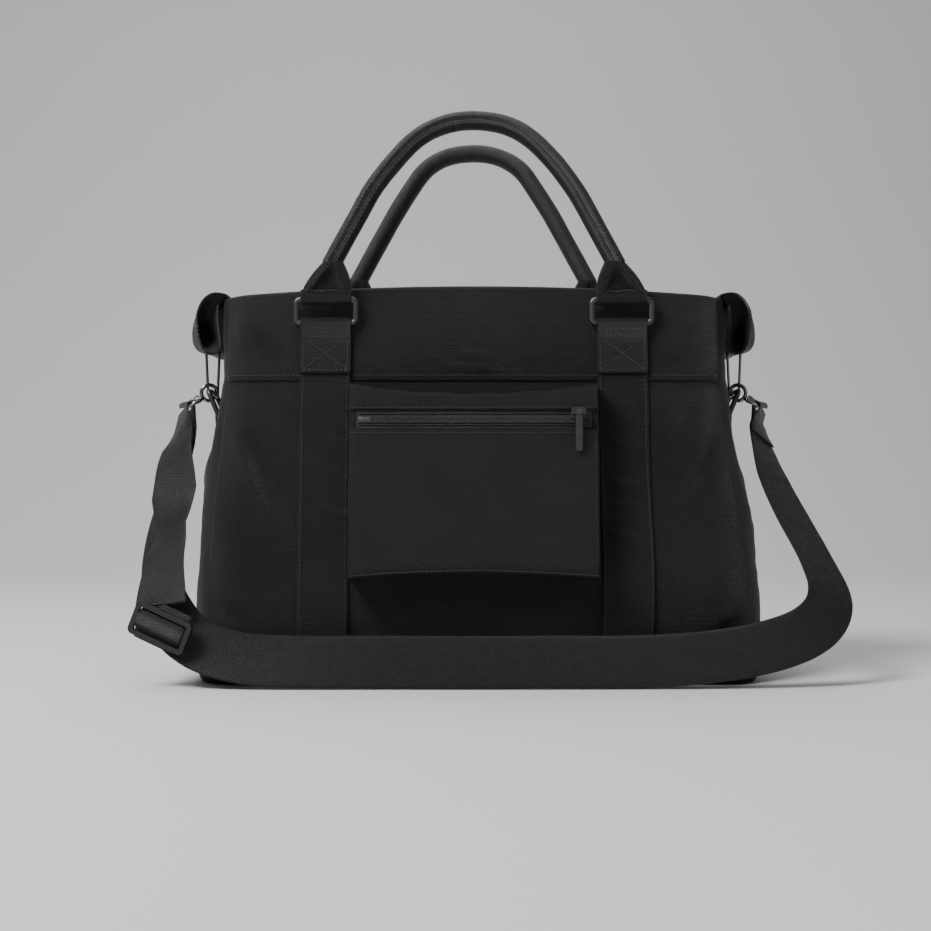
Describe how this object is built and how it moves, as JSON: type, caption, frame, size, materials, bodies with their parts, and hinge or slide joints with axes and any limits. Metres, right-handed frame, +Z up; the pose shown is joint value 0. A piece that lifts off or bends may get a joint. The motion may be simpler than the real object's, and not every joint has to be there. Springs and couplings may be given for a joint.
{
  "type": "weekender bag",
  "caption": "Soft weekender bag with two webbing hand straps, clip-on shoulder strap, zipped trolley sleeve and zip-top mouth with folded wings",
  "frame": {"origin": "on the floor under the middle of the bag", "axes": "+Z up, +X along the bag, -Y the rear side with the trolley sleeve"},
  "size_m": [0.5177, 0.2132, 0.4267],
  "materials": {
    "nylon_cloth": "black satin nylon with a fine weave",
    "sleeve_cloth": "black satin nylon with a fine twill",
    "webbing": "black ribbed nylon webbing",
    "handle_webbing": "black webbing rolled over a core and stitched",
    "lining_cloth": "thin black polyester",
    "zip": "black zip tape and nylon coil",
    "board": "stiff black board",
    "gunmetal": "gunmetal lacquered wire",
    "dark_chrome": "black nickel plating",
    "black_plastic": "black moulded plastic"
  },
  "bodies": {
    "bag": {"base_board": "board", "base_panel": "nylon_cloth", "front_band_left": "webbing", "front_band_right": "webbing", "front_collar": "nylon_cloth", "front_panel": "nylon_cloth", "left_gusset": "nylon_cloth", "left_side_tab": "webbing", "left_strap_loop": "dark_chrome", "lining": "lining_cloth", "pocket_zip": "zip", "rear_band_left": "webbing", "rear_band_right": "webbing", "rear_collar": "nylon_cloth", "rear_panel": "nylon_cloth", "right_gusset": "nylon_cloth", "right_side_tab": "webbing", "right_strap_loop": "dark_chrome", "shoulder_strap": "webbing", "sleeve_backing": "lining_cloth", "sleeve_cover": "sleeve_cloth", "strap_fold": "webbing", "strap_slide": "black_plastic"},
    "rear_rings": {"rear_ring_left": "gunmetal", "rear_ring_right": "gunmetal"},
    "rear_handle": {"rear_handle": "handle_webbing"},
    "front_rings": {"front_ring_left": "gunmetal", "front_ring_right": "gunmetal"},
    "front_handle": {"front_handle": "handle_webbing"},
    "rear_flap": {"rear_flap": "nylon_cloth", "rear_zip_tape": "zip"},
    "front_flap": {"front_flap": "nylon_cloth", "front_zip_tape": "zip"},
    "main_slider": {"main_slider": "dark_chrome"},
    "main_pull": {"main_pull": "dark_chrome"},
    "pocket_slider": {"pocket_slider": "dark_chrome"},
    "pocket_pull": {"pocket_pull": "dark_chrome"},
    "left_wing": {"left_wing": "nylon_cloth", "left_wing_clip": "dark_chrome"},
    "left_side_ring": {"left_side_ring": "gunmetal"},
    "left_hook": {"left_hook": "dark_chrome"},
    "left_hook_gate": {"left_hook_gate": "dark_chrome"},
    "right_wing": {"right_wing": "nylon_cloth", "right_wing_clip": "dark_chrome"},
    "right_side_ring": {"right_side_ring": "gunmetal"},
    "right_hook": {"right_hook": "dark_chrome"},
    "right_hook_gate": {"right_hook_gate": "dark_chrome"}
  },
  "joints": [
    {"name": "rear_rings_turn", "type": "hinge", "parent": "bag", "child": "rear_rings", "pos_m": [0, -0.06304, 0.268], "axis": [1, 0, 0], "range_deg": [-4, 75]},
    {"name": "rear_handle_turn", "type": "hinge", "parent": "rear_rings", "child": "rear_handle", "pos_m": [0, -0.06304, 0.2853], "axis": [1, 0, 0], "range_deg": [-12, 60]},
    {"name": "front_rings_turn", "type": "hinge", "parent": "bag", "child": "front_rings", "pos_m": [0, 0.06304, 0.268], "axis": [-1, 0, 0], "range_deg": [-4, 75]},
    {"name": "front_handle_turn", "type": "hinge", "parent": "front_rings", "child": "front_handle", "pos_m": [0, 0.06304, 0.2853], "axis": [-1, 0, 0], "range_deg": [-12, 60]},
    {"name": "rear_flap_open", "type": "hinge", "parent": "bag", "child": "rear_flap", "pos_m": [0, -0.047, 0.2848], "axis": [1, 0, 0], "range_deg": [0, 80]},
    {"name": "front_flap_open", "type": "hinge", "parent": "bag", "child": "front_flap", "pos_m": [0, 0.047, 0.2848], "axis": [-1, 0, 0], "range_deg": [0, 80]},
    {"name": "main_zip_slide", "type": "slide", "parent": "rear_flap", "child": "main_slider", "axis": [-1, 0, 0], "range_m": [0, 0.29]},
    {"name": "main_pull_turn", "type": "hinge", "parent": "main_slider", "child": "main_pull", "pos_m": [0.146, 0, 0.2905], "axis": [-1, 0, 0], "range_deg": [0, 160]},
    {"name": "pocket_zip_slide", "type": "slide", "parent": "bag", "child": "pocket_slider", "axis": [-1, 0, 0], "range_m": [0, 0.15]},
    {"name": "pocket_pull_turn", "type": "hinge", "parent": "pocket_slider", "child": "pocket_pull", "pos_m": [0.076, -0.10468, 0.1995], "axis": [-1, 0, 0], "range_deg": [0, 150]},
    {"name": "left_wing_lift", "type": "hinge", "parent": "bag", "child": "left_wing", "pos_m": [-0.1888, 0, 0.2896], "axis": [0, 1, 0], "range_deg": [0, 80]},
    {"name": "left_side_ring_turn", "type": "hinge", "parent": "bag", "child": "left_side_ring", "pos_m": [-0.19874, 0, 0.2], "axis": [0, -1, 0], "range_deg": [-2, 2]},
    {"name": "left_hook_swivel", "type": "hinge", "parent": "bag", "child": "left_hook", "pos_m": [-0.20794, -0.005, 0.2181], "axis": [-0.8138, -0.2962, -0.5], "range_deg": [-6, 6]},
    {"name": "left_gate_press", "type": "hinge", "parent": "left_hook", "child": "left_hook_gate", "pos_m": [-0.20713, -0.0047, 0.2123], "axis": [0.342, -0.9397, 0], "range_deg": [0, 20], "stiffness_Nm_per_rad": 0.02, "springref_deg": -5.73},
    {"name": "right_wing_lift", "type": "hinge", "parent": "bag", "child": "right_wing", "pos_m": [0.1888, 0, 0.2896], "axis": [0, -1, 0], "range_deg": [0, 80]},
    {"name": "right_side_ring_turn", "type": "hinge", "parent": "bag", "child": "right_side_ring", "pos_m": [0.19874, 0, 0.2], "axis": [0, 1, 0], "range_deg": [-2, 2]},
    {"name": "right_hook_swivel", "type": "hinge", "parent": "bag", "child": "right_hook", "pos_m": [0.20794, -0.005, 0.2181], "axis": [0.8138, -0.2962, -0.5], "range_deg": [-6, 6]},
    {"name": "right_gate_press", "type": "hinge", "parent": "right_hook", "child": "right_hook_gate", "pos_m": [0.20713, -0.0047, 0.2123], "axis": [0.342, 0.9397, 0], "range_deg": [0, 20], "stiffness_Nm_per_rad": 0.02, "springref_deg": -5.73}
  ],
  "couplings": [
    {"joint": "front_flap_open", "follows": "rear_flap_open", "ratio": 1}
  ]
}
